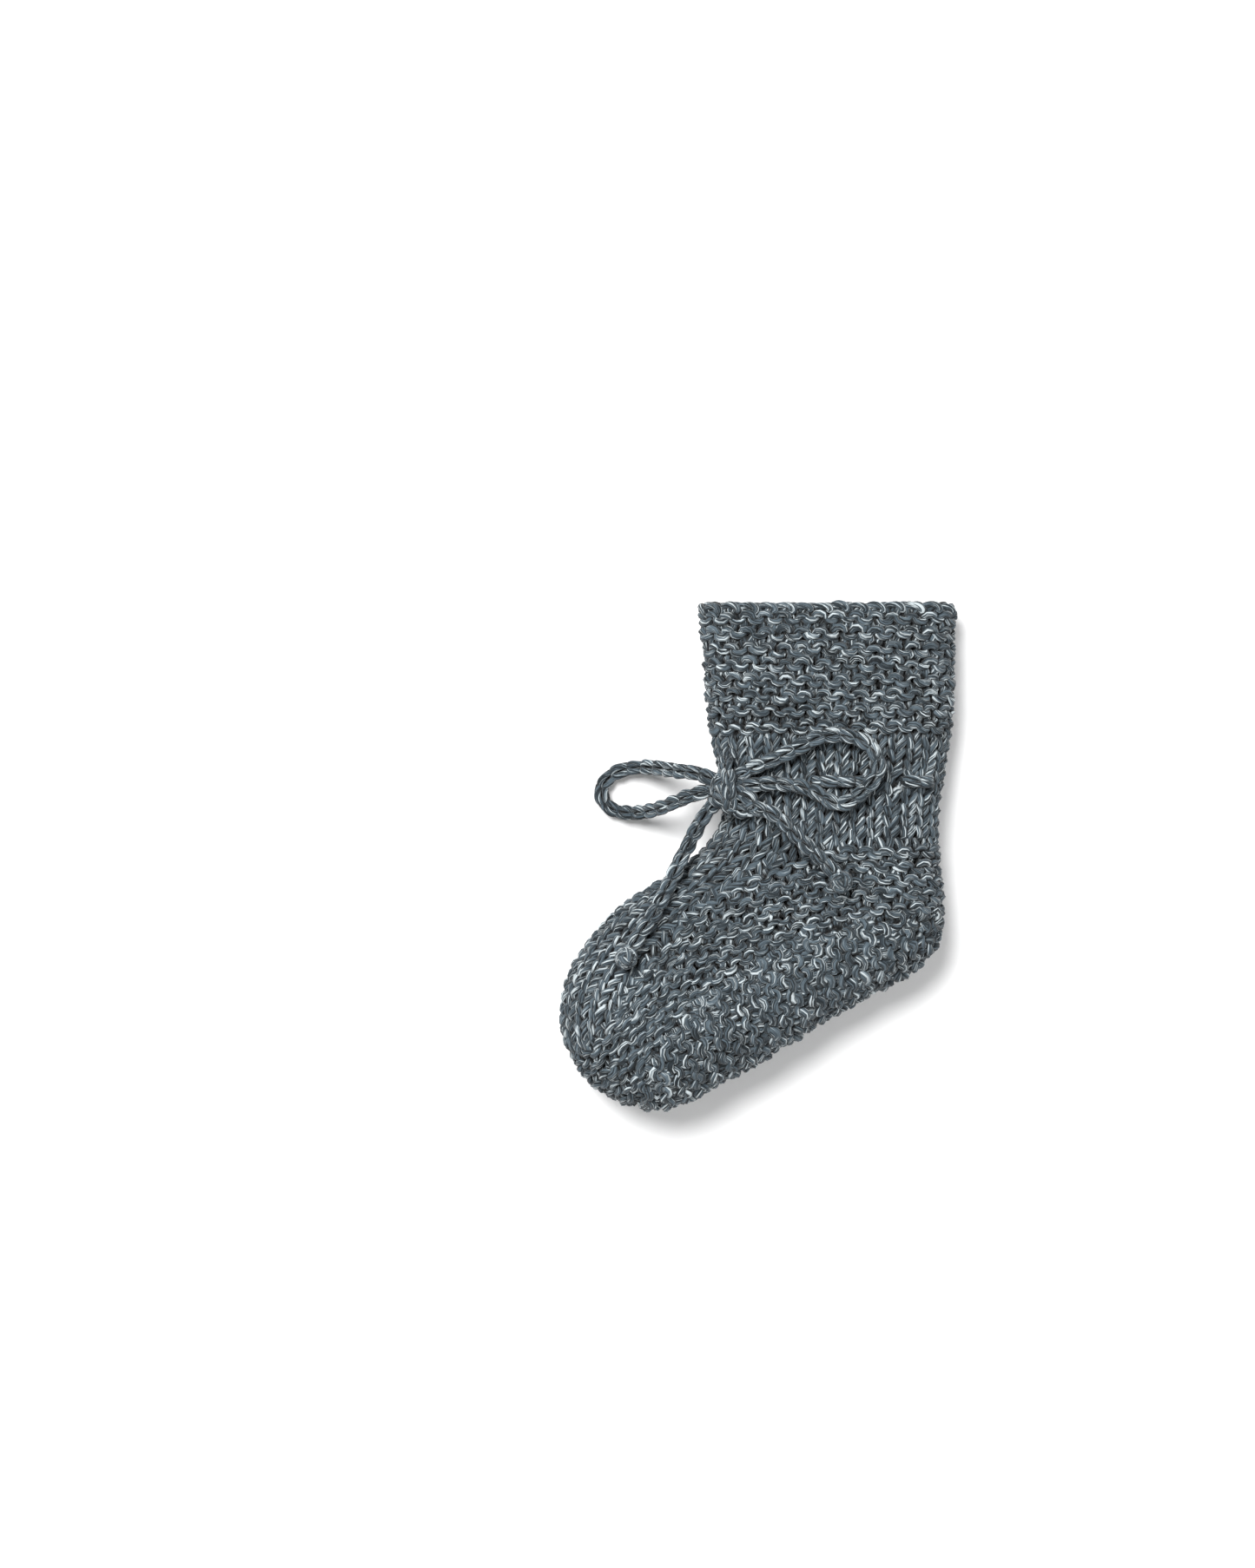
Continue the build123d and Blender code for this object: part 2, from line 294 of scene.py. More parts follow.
class Fabric:
    """A knitted zone: a grid of points over stitches and rows, with its outward normals.

    A ring's rows go right round. A strip's rows cross the rim, where their stitches are counted from.
    """

    def __init__(self, row_curve, rows, stitches, closed):
        self.rows, self.stitches, self.closed = rows, stitches, closed
        self.eyelets = []
        self.low = -EXTRA_ROWS
        self.levels = np.arange(self.low, rows + EXTRA_ROWS + 0.01, 0.5)
        if closed:
            at = np.linspace(0, 1, stitches * GRID_PER_STITCH + 1)
            self.grid = np.array([along(row_curve(v), at) for v in self.levels])
            self.first = 0.0
        else:
            made = [row_curve(v) for v in self.levels]
            self.grid = np.array([m[0] for m in made])
            self.halves = np.array([m[1] for m in made])
            self.first = -(self.grid.shape[1] - 1) / 2 / GRID_PER_STITCH
        du = np.gradient(self.grid, axis=1)
        if closed:
            seam = self.grid[:, 1] - self.grid[:, -2]
            du[:, 0] = du[:, -1] = seam / 2
        normal = np.cross(du, np.gradient(self.grid, axis=0))
        normal = normalized(normal)
        upper = self.grid[:, :, 2] > self.grid[:, :, 2].mean()
        if normal[upper][:, 2].mean() < 0:
            normal = -normal
        self.normals = normal

    def at(self, u, v):
        """Place and normal at stitch u and row v, both real numbers."""
        if self.closed:
            u = np.mod(u, self.stitches)
        cols = self.grid.shape[1] - 1
        x = np.clip((u - self.first) * GRID_PER_STITCH, 0, cols - 1e-6)
        y = np.clip((v - self.low) * 2, 0, self.grid.shape[0] - 1 - 1e-6)
        i, j = x.astype(int), y.astype(int)
        fx, fy = (x - i)[:, None], (y - j)[:, None]
        out = []
        for table in (self.grid, self.normals):
            lower = table[j, i] * (1 - fx) + table[j, i + 1] * fx
            above = table[j + 1, i] * (1 - fx) + table[j + 1, i + 1] * fx
            out.append(lower * (1 - fy) + above * fy)
        return out[0], out[1] / np.linalg.norm(out[1], axis=1, keepdims=True)


def wobble(stitches, closed, size):
    """Smooth random variation along a row, about one value for each half stitch."""
    count = stitches * 2 + 1
    values = rng.normal(0, size, count)
    if closed:
        values[-1] = values[0]
    at = np.linspace(0, count - 1, stitches * SEGMENTS, endpoint=not closed)
    i = np.minimum(at.astype(int), count - 2)
    f = at - i
    f = f * f * (3 - 2 * f)
    return values[i] * (1 - f) + values[i + 1] * f


def knit_row(fabric, row, face, face_above, depth, thick, ridged=False):
    """One row of loops as a strand, or None where a strip's row has no stitches.

    A face is 1 for a knit row and -1 for a purl row. A loop's head takes the face of the row above.
    """
    n, start = fabric.stitches, 0
    if not fabric.closed:
        half = np.interp(row + 0.5, fabric.levels, fabric.halves) / fabric.stitches
        n = 2 * int(round(half + STRIP_OVERRUN))
        start = -n / 2
        if n < 2:
            return None
    t = np.linspace(0, TAU * n, n * SEGMENTS, endpoint=not fabric.closed)
    w = [wobble(n, fabric.closed, s) for s in (RIDGED_WOBBLE if ridged else PLAIN_WOBBLE)]
    u = (t + (GARTER_SWING if ridged else SWING) * np.sin(2 * t)) / TAU + w[0] + start
    v = row + 0.5 + (GARTER_REACH if ridged else REACH) * np.cos(t) + w[1]
    head = 0.5 + 0.5 * np.clip(HEAD_EDGE * np.cos(t), -1, 1)
    dip = np.tanh(RIDGE_STEEPNESS * np.cos(2 * t) + RIDGE_LEAN) if ridged else np.cos(2 * t)
    out = -depth * dip * (face_above * head + face * (1 - head)) + w[2]
    place, normal = fabric.at(u, v)
    for centre in fabric.eyelets:
        away = place - centre
        gap = np.linalg.norm(away, axis=1, keepdims=True)
        place = place + normalized(away) * EYELET_PUSH * np.exp(-((gap / EYELET_REACH) ** 2))
    return {
        "points": place + normal * out[:, None],
        "up": normal,
        "radius": 0.5 * thick * (1 + w[3]),
        "level": out,
        "closed": fabric.closed,
    }


def normalized(v):
    return v / np.maximum(np.linalg.norm(v, axis=-1, keepdims=True), 1e-12)


KNIT_TWIST, CHAIN_TWIST = 0.45, 0.5  # winding of the plies, in radians to a millimetre
PLIES, PLY_BULGE = 3, 0.1
FIBRE_LENGTH = 4000  # strands start anywhere along this length of fibres


def yarn_mesh(name, strands, twist=KNIT_TWIST):
    """Mesh of yarn strands: tubes whose section has a few rounded plies that wind along them."""
    verts, faces, fibre, ply, level = [], [], [], [], []
    base = 0
    turn = np.arange(SIDES) * TAU / SIDES
    for strand in strands:
        p, closed = strand["points"], strand["closed"]
        n = len(p)
        if closed:
            tangent = normalized(np.roll(p, -1, axis=0) - np.roll(p, 1, axis=0))
            step = np.linalg.norm(np.roll(p, -1, axis=0) - p, axis=1)
            reach = np.concatenate(([0], np.cumsum(step)[:-1]))
        else:
            tangent = normalized(np.gradient(p, axis=0))
            reach = reach_along(p)
        side = normalized(np.cross(tangent, strand["up"]))
        up = np.cross(side, tangent)
        wound = turn[None, :] - twist * reach[:, None]
        bulge = np.cos(PLIES * wound)
        r = strand["radius"][:, None] * (1 + PLY_BULGE * bulge)
        ring_points = (
            p[:, None]
            + (r * np.cos(turn))[..., None] * up[:, None]
            + (r * np.sin(turn))[..., None] * side[:, None]
        )
        verts.append(ring_points.reshape(-1, 3))
        start = rng.uniform(0, FIBRE_LENGTH)
        lengthwise = np.repeat(reach[:, None] + start, SIDES, axis=1)
        fibre.append(np.dstack((lengthwise, np.cos(wound), np.sin(wound))).reshape(-1, 3))
        ply.append(bulge.reshape(-1))
        # Height of each point over the fabric's middle, with each strand's top highest; the yarn material
        # paints shade where this height is small
        level.append((strand["level"][:, None] + r * np.cos(turn)).reshape(-1))
        i = np.arange(n if closed else n - 1)[:, None]
        k = np.arange(SIDES)[None, :]
        j, m = (i + 1) % n, (k + 1) % SIDES
        quads = np.dstack((i * SIDES + k, i * SIDES + m, j * SIDES + m, j * SIDES + k))
        faces.append(quads.reshape(-1, 4) + base)
        if not closed:
            for end, order in ((0, -1), (n - 1, 1)):
                cap = base + end * SIDES + np.arange(SIDES)[::order]
                for a in range(1, len(cap) - 1):
                    faces.append(np.array([[cap[0], cap[a], cap[a + 1], cap[a + 1]]]))
        base += n * SIDES
    verts = np.vstack(verts) * MM
    quads = np.vstack(faces)
    return make_object(name, verts, quads, np.vstack(fibre), np.concatenate(ply), np.concatenate(level))


def make_object(name, verts, quads, fibre, ply, level):
    """Blender object from quads; a quad whose last two corners are the same is a triangle."""
    corners = np.where(quads[:, 2] == quads[:, 3], 3, 4)
    loops = quads.reshape(-1)[(np.arange(4)[None, :] < corners[:, None]).reshape(-1)]
    starts = np.concatenate(([0], np.cumsum(corners)[:-1]))
    mesh = bpy.data.meshes.new(name)
    mesh.vertices.add(len(verts))
    mesh.vertices.foreach_set("co", verts.astype(np.float32).ravel())
    mesh.loops.add(len(loops))
    mesh.loops.foreach_set("vertex_index", loops.astype(np.int32))
    mesh.polygons.add(len(corners))
    mesh.polygons.foreach_set("loop_start", starts.astype(np.int32))
    mesh.polygons.foreach_set("use_smooth", np.ones(len(corners), bool))
    mesh.update(calc_edges=True)
    fibre_data = mesh.attributes.new("fibre", "FLOAT_VECTOR", "POINT").data
    fibre_data.foreach_set("vector", fibre.astype(np.float32).ravel())
    for kind, values in (("ply", ply), ("level", level)):
        mesh.attributes.new(kind, "FLOAT", "POINT").data.foreach_set("value", values.astype(np.float32))
    mesh.validate()
    obj = bpy.data.objects.new(name, mesh)
    bpy.context.scene.collection.objects.link(obj)
    return obj


# --- Materials -----------------------------------------------------------------------------------


SHADOW_SHARE = 0.12  # painted shade between plies and deep in the fabric: its colour, as a share of the dark fibres'


def yarn_material(name, dark, mid, pale, fleck_start):
    """Marled yarn: twisted fibres along the strand, painted shade between the plies and deep in the fabric,
    short pale flecks.

    Flecks start where their noise passes fleck_start, so a higher one leaves fewer.
    """
    material = bpy.data.materials.new(name)
    material.use_nodes = True
    nodes, links = material.node_tree.nodes, material.node_tree.links
    shader = nodes["Principled BSDF"]
    shader.inputs["Roughness"].default_value = 0.82
    shader.inputs["Sheen Weight"].default_value = 0.12
    shader.inputs["Sheen Roughness"].default_value = 0.5
    shader.inputs["Specular IOR Level"].default_value = 0.25

    fibre = nodes.new("ShaderNodeAttribute")
    fibre.attribute_name = "fibre"
    ply = nodes.new("ShaderNodeAttribute")
    ply.attribute_name = "ply"

    def noise(stretch, scale, detail, rough=0.55):
        mapping = nodes.new("ShaderNodeMapping")
        mapping.inputs["Scale"].default_value = stretch
        texture = nodes.new("ShaderNodeTexNoise")
        texture.inputs["Scale"].default_value = scale
        texture.inputs["Detail"].default_value = detail
        texture.inputs["Roughness"].default_value = rough
        links.new(fibre.outputs["Vector"], mapping.inputs["Vector"])
        links.new(mapping.outputs["Vector"], texture.inputs["Vector"])
        return texture.outputs["Fac"]

    def ranged(value, low, high, to_low=0.0, to_high=1.0):
        node = nodes.new("ShaderNodeMapRange")
        node.interpolation_type = "SMOOTHSTEP"
        node.inputs["From Min"].default_value = low
        node.inputs["From Max"].default_value = high
        node.inputs["To Min"].default_value = to_low
        node.inputs["To Max"].default_value = to_high
        links.new(value, node.inputs["Value"])
        return node.outputs["Result"]

    def mixed(factor, first, second):
        node = nodes.new("ShaderNodeMix")
        node.data_type = "RGBA"
        links.new(factor, node.inputs["Factor"])
        for socket, colour in (("A", first), ("B", second)):
            target = [s for s in node.inputs if s.name == socket and s.type == "RGBA"][0]
            if isinstance(colour, tuple):
                target.default_value = (*colour, 1)
            else:
                links.new(colour, target)
        return [s for s in node.outputs if s.type == "RGBA"][0]

    level = nodes.new("ShaderNodeAttribute")
    level.attribute_name = "level"
    depth = nodes.new("ShaderNodeMath")
    depth.operation = "ABSOLUTE"
    links.new(level.outputs["Fac"], depth.inputs[0])
    # Each noise is stretched along the strand, the first of its three scales
    streak = noise((0.16, 2.0, 2.0), 1.0, 2.5)
    tone = noise((0.03, 0.3, 0.3), 1.0, 2.0)
    fleck = noise((0.18, 2.0, 2.0), 1.0, 2.0, 0.5)
    hair = noise((0.30, 5.5, 5.5), 1.0, 2.0, 0.5)
    body = mixed(ranged(streak, 0.43, 0.61), dark, mid)
    toned = mixed(ranged(tone, 0.42, 0.7, 0.0, 0.25), body, mid)
    flecked = mixed(ranged(fleck, fleck_start, fleck_start + 0.09, 0.0, 0.85), toned, pale)
    haired = mixed(ranged(hair, 0.60, 0.72, 0.0, 0.5), flecked, pale)
    # Painted shade: the colour goes to near black in the grooves between plies, and where the yarn lies
    # deep in the fabric or on a strand's under side
    painted_shade_colour = tuple(SHADOW_SHARE * c for c in dark)
    ply_groove_shade = mixed(ranged(ply.outputs["Fac"], -1.0, -0.2, 0.5, 0.0), haired, painted_shade_colour)
    painted_depth_shade = mixed(ranged(depth.outputs[0], 0.5, 1.7, 0.98, 0.0), ply_groove_shade, painted_shade_colour)
    links.new(painted_depth_shade, shader.inputs["Base Color"])
    bump = nodes.new("ShaderNodeBump")
    bump.inputs["Strength"].default_value = 0.6
    bump.inputs["Distance"].default_value = 0.0003
    links.new(streak, bump.inputs["Height"])
    links.new(bump.outputs["Normal"], shader.inputs["Normal"])
    return material


DARK = (0.006, 0.010, 0.013)
MID = (0.072, 0.098, 0.118)
PALE = (0.54, 0.60, 0.62)
knit_yarn = yarn_material("knit_yarn", DARK, MID, PALE, 0.563)
tie_yarn = yarn_material("tie_yarn", DARK, MID, PALE, 0.565)
seam_yarn = yarn_material("seam_yarn", DARK, MID, PALE, 0.58)


def finish_piece(obj, material, slot, body, *nodes):
    obj.data.materials.append(material)
    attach(obj, body)
    if nodes:
        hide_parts(*nodes)
    return obj


# --- Camera --------------------------------------------------------------------------------------

VIEW_CENTRE = (-33.6, 19.0)  # plan point under the middle of the picture
VIEW_HEIGHT = 397.3  # length of floor that the picture's long side takes in
CAMERA_RANGE = 1200.0
camera_data = bpy.data.cameras.new("camera")
camera_data.sensor_width = 36.0
camera_data.lens = camera_data.sensor_width * CAMERA_RANGE / VIEW_HEIGHT
camera = bpy.data.objects.new("camera", camera_data)
camera.location = (VIEW_CENTRE[0] * MM, VIEW_CENTRE[1] * MM, (CAMERA_RANGE + 20.0) * MM)
bpy.context.scene.collection.objects.link(camera)
bpy.context.scene.camera = camera

# --- Crocheted tie -------------------------------------------------------------------------------

CORD_WIDTH = 4.9
CHAIN_PITCH = 4.2
CHAIN_YARN = 1.8


def curve_points(points):
    """Points along the smooth NURBS line that a route's points control."""
    curve = bpy.data.curves.new("route", "CURVE")
    curve.dimensions = "3D"
    curve.resolution_u = 16
    spline = curve.splines.new("NURBS")
    spline.points.add(len(points) - 1)
    for point, place in zip(spline.points, points):
        point.co = (*place, 1)
    spline.order_u = 3
    spline.use_endpoint_u = True
    carrier = bpy.data.objects.new("route", curve)
    bpy.context.scene.collection.objects.link(carrier)
    bpy.context.view_layer.update()
    mesh = bpy.data.meshes.new_from_object(carrier)
    line = np.array([v.co[:] for v in mesh.vertices])
    bpy.data.objects.remove(carrier)
    bpy.data.curves.remove(curve)
    bpy.data.meshes.remove(mesh)
    return line


LOOP_POINTS = 29
LOOP_LENGTH = 1.65  # of a chain's loop, in steps from one loop to the next
LOOP_START = 0.35  # steps by which a loop starts behind its place
LOOP_NECK, LOOP_BELLY = 0.25, 1.05  # how the loop widens from its ends to its middle
LOOP_LIFT, LOOP_DIVE = 0.35, 0.75  # height of the loop, and how it passes over and under
LOOP_VARIETY, LEAN_VARIETY, YARN_VARIETY = 0.05, 0.12, 0.04
CORE_SWING, CORE_SINK, CORE_THICKNESS, CORE_SHADE = 0.5, 0.55, 0.52, -0.2  # the strand inside; CORE_SHADE sets it deep in the painted shade, almost black


def chain_strands(line, up=(0, 0, 1), pitch=CHAIN_PITCH, width=CORD_WIDTH):
    """Crochet chain along a line: V-shaped loops, each drawn up through the one before.

    The way up is the same all along, or one direction for each point of the line.
    """
    length = reach_along(line)[-1]
    count = max(int(round(length / pitch)), 2)
    step = length / count
    q = np.linspace(0, 1, LOOP_POINTS)
    reach = LOOP_LENGTH * step * np.sin(math.pi * q) ** 0.8
    half = (width - CHAIN_YARN) / 2
    spread = -half * np.cos(math.pi * q) * (LOOP_NECK + LOOP_BELLY * np.sin(math.pi * q))
    rise = LOOP_LIFT - LOOP_DIVE * np.cos(4 * math.pi * q)
    ups = np.array(up, float)

    def up_at(share_of_length):
        if ups.ndim == 1:
            return ups
        where = np.clip(share_of_length, 0, 1) * length
        reach_there = reach_along(line)
        return np.column_stack([np.interp(where, reach_there, ups[:, k]) for k in range(3)])

    strands = []
    for k in range(count):
        start = (k - LOOP_START) * step
        size = 1 + rng.normal(0, LOOP_VARIETY)
        lean = rng.normal(0, LEAN_VARIETY)
        at = np.clip((start + reach) / length, -0.02, 1.02)
        centre = along(line, np.clip(at, 0, 1))
        ahead = along(line, np.clip(at + 0.01, 0, 1)) - along(line, np.clip(at - 0.01, 0, 1))
        tangent = normalized(ahead)
        side = normalized(np.cross(tangent, up_at(at)))
        top = np.cross(side, tangent)
        s = math.cos(lean) * side + math.sin(lean) * top
        t = math.cos(lean) * top - math.sin(lean) * side
        points = centre + (spread * size)[:, None] * s + rise[:, None] * t
        radius = np.full(len(points), CHAIN_YARN / 2) * (1 + rng.normal(0, YARN_VARIETY))
        # Height for the yarn material's painted shade: darker where the loop dives under the one before
        level = rise + LOOP_LIFT
        strands.append({"points": points, "up": t, "radius": radius, "level": level, "closed": False})
    wave = np.linspace(0, 1, count * 8)
    core = along(line, wave)
    tangent = normalized(np.gradient(core, axis=0))
    side = normalized(np.cross(tangent, up_at(wave)))
    top = np.cross(side, tangent)
    swing = CORE_SWING * np.sin(wave * count * TAU)
    strands.append(
        {
            "points": core + swing[:, None] * side - CORE_SINK * top,
            "up": top,
            "radius": np.full(len(core), CORE_THICKNESS * CHAIN_YARN),
            "level": np.full(len(core), CORE_SHADE),
            "closed": False,
        }
    )
    return strands


# Routes of the tie's free stretches. The first and last point of a loop are in the knot.
ROUTES = {
    "bow_loop_left": [
        (-10.2, 19.3, 21.0),
        (-14.0, 21.3, 20.4),
        (-19.5, 22.3, 16.5),
        (-24.5, 22.9, 9.5),
        (-30.0, 23.4, 3.8),
        (-36.2, 22.4, 2.1),
        (-40.4, 18.9, 1.9),
        (-40.2, 14.4, 1.9),
        (-36.2, 11.6, 2.2),
        (-31.0, 11.4, 4.2),
        (-25.8, 12.6, 9.8),
        (-20.4, 14.8, 16.0),
        (-14.2, 17.2, 19.0),
        (-10.4, 18.0, 20.2),
    ],
    "bow_loop_right": [
        (-7.0, 19.6, 22.4),
        (-4.2, 22.3, 24.0),
        (4.0, 25.5, 26.0),
        (9.8, 28.4, 25.7),
        (15.7, 31.4, 25.3),
        (21.9, 31.6, 25.4),
        (26.9, 29.4, 25.4),
        (29.6, 26.0, 25.7),
        (29.8, 22.4, 26.1),
        (27.4, 18.8, 26.5),
        (23.8, 15.4, 26.9),
        (20.1, 13.4, 27.1),
        (16.4, 15.2, 26.9),
        (12.0, 17.6, 26.6),
        (7.2, 18.9, 26.5),
        (1.8, 19.3, 26.3),
        (-2.6, 18.6, 25.3),
        (-6.4, 18.4, 22.8),
    ],
    "tie_tail_left": [
        (-9.6, 16.4, 20.2),
        (-12.2, 13.8, 19.4),
        (-16.0, 8.0, 19.0),
        (-19.8, 0.4, 20.6),
        (-23.9, -8.1, 25.2),
        (-28.0, -15.4, 28.3),
        (-32.2, -20.8, 29.8),
        (-33.9, -24.6, 31.0),
    ],
    "tie_tail_right": [
        (-3.2, 13.4, 24.6),
        (-0.2, 12.9, 26.5),
        (3.6, 11.2, 27.4),
        (6.9, 8.4, 27.9),
        (9.8, 5.0, 28.2),
        (13.9, 1.3, 28.5),
        (17.5, -2.4, 29.0),
        (20.1, -5.7, 29.9),
    ],
}
CORD_BODIES = {
    "bow_loop_left": "loop_left",
    "bow_loop_right": "loop_right",
    "tie_tail_left": "tail_left",
    "tie_tail_right": "tail_right",
}
TAIL_BALLS = {"tie_tail_left": "tail_knot_left", "tie_tail_right": "tail_knot_right"}
TAIL_BALL_RADIUS, TAIL_BALL_TURNS = 2.0, 7
TURN_POINTS = 26
BALL_TILT, BALL_TILT_RATE, BALL_TILT_START = 0.9, 0.37, 0.3
BALL_SPIN = 0.61 * 2.4  # how far the winding turns round the vertical in one turn
BALL_SHADE = 1.3


def yarn_ball(name, centre, radius, turns, yarn):
    """Small knot: turns of yarn wound about a centre, each turn tilted from the last."""
    count = turns * TURN_POINTS
    t = np.linspace(0, TAU * turns, count)
    tilt = BALL_TILT * np.sin(t * BALL_TILT_RATE) + BALL_TILT_START
    spin = BALL_SPIN * t / TAU
    x, y, z = np.cos(t), np.sin(t) * np.cos(tilt), np.sin(t) * np.sin(tilt)
    spun = np.column_stack((x * np.cos(spin) - y * np.sin(spin), x * np.sin(spin) + y * np.cos(spin), z))
    points = np.array(centre) + radius * spun
    strand = {"points": points, "up": spun, "radius": np.full(count, yarn / 2), "closed": False}
    strand["level"] = np.full(count, BALL_SHADE)
    return yarn_mesh(name, [strand], CHAIN_TWIST)


for name, route in ROUTES.items():
    line = curve_points(route)
    cord_piece = yarn_mesh(f"{name}_chain", chain_strands(line), CHAIN_TWIST)
    finish_piece(cord_piece, tie_yarn, "tie_yarn", CORD_BODIES[name], name)
    if name in TAIL_BALLS:
        node = TAIL_BALLS[name]
        ball = yarn_ball(f"{node}_yarn", route[-1], TAIL_BALL_RADIUS, TAIL_BALL_TURNS, CHAIN_YARN)
        finish_piece(ball, tie_yarn, "tie_yarn", CORD_BODIES[name], node)

# The knot: the tie's middle turn over the loops, above a core of wound cord, and the turn of cord
# beside it that the right tail leaves
KNOT_WRAP = [
    (-8.9, 24.6, 17.6),
    (-8.8, 23.6, 23.6),
    (-8.4, 20.2, 26.6),
    (-8.0, 16.2, 26.6),
    (-7.6, 12.8, 23.8),
    (-7.4, 12.0, 18.0),
]
KNOT_UNDER = [
    (-12.6, 16.0, 21.6),
    (-9.6, 14.0, 23.6),
    (-6.0, 12.4, 24.4),
    (-2.4, 12.0, 25.0),
    (-1.2, 14.4, 25.6),
    (-3.8, 16.2, 25.4),
    (-6.4, 16.8, 24.0),
]
KNOT_UP = (0.05, 0, 1)
KNOT_PITCH = 3.5
KNOT_CORE_RADIUS, KNOT_CORE_TURNS, KNOT_CORE_YARN = 3.6, 12, 2.2
KNOT_PIECES = [("bow_knot_wrap", KNOT_WRAP, ["bow_knot"]), ("bow_knot_turn", KNOT_UNDER, [])]
for name, route, stands_for in KNOT_PIECES:
    chain = chain_strands(curve_points(route), KNOT_UP, KNOT_PITCH)
    piece = yarn_mesh(name, chain, CHAIN_TWIST)
    finish_piece(piece, tie_yarn, "tie_yarn", "bootie", *stands_for)
core = yarn_ball("bow_knot_core", KNOT, KNOT_CORE_RADIUS, KNOT_CORE_TURNS, KNOT_CORE_YARN)
finish_piece(core, tie_yarn, "tie_yarn", "bootie")

# --- Knitted zones -------------------------------------------------------------------------------

GARTER_YARN = 1.82
SOLE_YARN = 2.15
PLAIN_YARN = 1.95
GARTER_DEPTH = 1.2  # how far the loops swing out of the middle of the fabric
PLAIN_DEPTH = 1.0


LEG_FRONT_X, LEG_BACK_X = -30.0, 66.0  # well outside the leg


def level_line(y):
    """Plan path straight across the leg, front to back."""
    x = np.linspace(LEG_FRONT_X, LEG_BACK_X, 200)
    return np.column_stack((x, np.full(len(x), y)))


def blended(first, second, share_of_second):
    """Plan path part of the way from one path to another."""
    at = np.linspace(0, 1, 260)
    return along(first, at) * (1 - share_of_second) + along(second, at) * share_of_second


CUFF_ROWS = 15
EDGE_HEIGHT = 1.2  # of the bound-off edge above the last row
LEG_STITCHES = 30


def cuff_row(v):
    return ring(level_line(CUFF_Y + (MOUTH_Y - EDGE_HEIGHT - CUFF_Y) * v / CUFF_ROWS))


def garter(fabric, first_face, depth, thick, plain_above=False):
    """Alternate knit and purl rows, which may lie under a zone of knit rows."""
    strands = []
    for row in range(fabric.rows):
        face = first_face if row % 2 == 0 else -first_face
        face_above = 1 if plain_above and row == fabric.rows - 1 else -face
        strands.append(knit_row(fabric, row, face, face_above, depth, thick, ridged=True))
    return [s for s in strands if s]


def stockinette(fabric, depth, thick, face_above=1):
    """Knit rows, under a first row of the given face in the zone above."""
    strands = [knit_row(fabric, row, 1, 1, depth, thick) for row in range(fabric.rows - 1)]
    strands.append(knit_row(fabric, fabric.rows - 1, 1, face_above, depth, thick))
    return [s for s in strands if s]


cuff = Fabric(cuff_row, CUFF_ROWS, LEG_STITCHES, closed=True)
piece = yarn_mesh("cuff_knit", garter(cuff, -1, GARTER_DEPTH, GARTER_YARN))
finish_piece(piece, knit_yarn, "knit_yarn", "bootie", "cuff")

ANKLE_ROWS = 10
ankle_lower = smooth_line(ANKLE_START)
ankle_upper = np.array([(-16.0, CUFF_Y), (54.0, CUFF_Y)])


def ankle_row(v):
    return ring(blended(ankle_lower, ankle_upper, v / ANKLE_ROWS))


ankle = Fabric(ankle_row, ANKLE_ROWS, LEG_STITCHES, closed=True)
EYELET_X = (14.2, 25.8, 35.2, 42.4)
eyelet_plan = np.array([(x, TIE_Y) for x in EYELET_X])
ankle.eyelets = list(lift(eyelet_plan, 1)) + list(lift(eyelet_plan, -1))
piece = yarn_mesh("ankle_knit", stockinette(ankle, PLAIN_DEPTH, PLAIN_YARN, face_above=-1))
finish_piece(piece, knit_yarn, "knit_yarn", "bootie", "ankle_band")

BAND_ROWS = 12
BAND_STITCHES = 52
sole_edge = smooth_line(SOLE_EDGE)
band_edge = smooth_line(BAND_EDGE)


def band_row(v):
    return ring(blended(sole_edge, band_edge, v / BAND_ROWS)[::-1])


band = Fabric(band_row, BAND_ROWS, BAND_STITCHES, closed=True)
piece = yarn_mesh("side_band_knit", garter(band, -1, GARTER_DEPTH, GARTER_YARN, plain_above=True))
finish_piece(piece, knit_yarn, "knit_yarn", "bootie", "side_band")

STRIP_SPAN = 36.0  # how far a strip's grid goes either way from the rim


def guided(v, rows, angles):
    """Angle of a row, from angles spread evenly over a zone's rows."""
    return np.interp(v / rows, np.linspace(0, 1, len(angles)), angles)


SOLE_ROWS = 42
SOLE_STITCH = 4.0  # width of a stitch
SOLE_RIM = (0.2185, 0.426)  # shares of the outline's length
SOLE_ANGLES = (112.0, 115.0, 116.0, 114.0, 104.0)


def sole_row(v):
    rim = SOLE_RIM[0] + (SOLE_RIM[1] - SOLE_RIM[0]) * v / SOLE_ROWS
    count = int(STRIP_SPAN / SOLE_STITCH * GRID_PER_STITCH)
    return strip(rim, guided(v, SOLE_ROWS, SOLE_ANGLES), sole_edge, STRIP_SPAN, count)


sole = Fabric(sole_row, SOLE_ROWS, SOLE_STITCH, closed=False)
piece = yarn_mesh("sole_knit", garter(sole, -1, GARTER_DEPTH, SOLE_YARN))
finish_piece(piece, knit_yarn, "knit_yarn", "bootie", "sole")

INSTEP_ROWS = 27
INSTEP_STITCH = 4.5
INSTEP_RIM = (0.648, 0.478)
INSTEP_ANGLES = (-20.0, -36.0, -44.0, -42.0, -34.0, -22.0)


def instep_row(v):
    rim = INSTEP_RIM[0] + (INSTEP_RIM[1] - INSTEP_RIM[0]) * v / INSTEP_ROWS
    count = int(STRIP_SPAN / INSTEP_STITCH * GRID_PER_STITCH)
    return strip(rim, guided(v, INSTEP_ROWS, INSTEP_ANGLES), band_edge, STRIP_SPAN, count)


